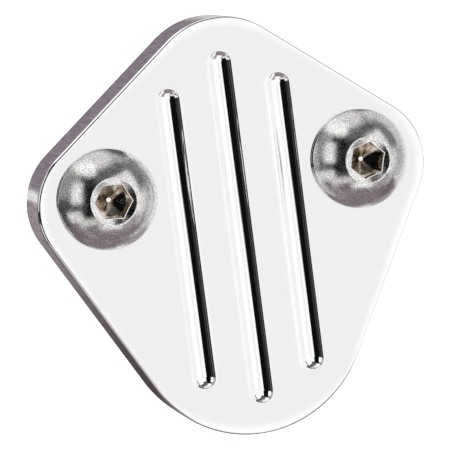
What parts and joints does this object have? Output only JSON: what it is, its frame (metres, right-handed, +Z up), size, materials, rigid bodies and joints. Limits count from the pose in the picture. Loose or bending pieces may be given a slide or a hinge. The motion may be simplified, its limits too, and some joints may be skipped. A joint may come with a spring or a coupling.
{
  "type": "block-off plate",
  "caption": "Rounded kite-shaped metal plate that blanks an engine's pump opening, with lengthwise decorative grooves, button head screws and a paper gasket.",
  "frame": {"origin": "midway between the two screw axes, on the gasket's rear face, which is the plane of the engine's mounting pad", "axes": "+Z up along the grooves, -Y out of the polished front face, +Y along the screw shanks into the engine, +X to the right as seen from the front"},
  "size_m": [0.0702, 0.0305, 0.0735],
  "materials": {
    "plate": "mirror polished billet",
    "gasket": "matt fibre gasket paper",
    "screw": "plain stainless, slightly grained"
  },
  "bodies": {
    "cover": {"plate": "plate", "gasket": "gasket"},
    "left_bolt": {"left_screw": "screw"},
    "right_bolt": {"right_screw": "screw"}
  },
  "joints": [
    {"name": "left_bolt_turn", "type": "hinge", "parent": "cover", "child": "left_bolt", "pos_m": [-0.02286, 0, 0], "axis": [0, 1, 0], "continuous": true},
    {"name": "right_bolt_turn", "type": "hinge", "parent": "cover", "child": "right_bolt", "pos_m": [0.02286, 0, 0], "axis": [0, 1, 0], "continuous": true}
  ]
}
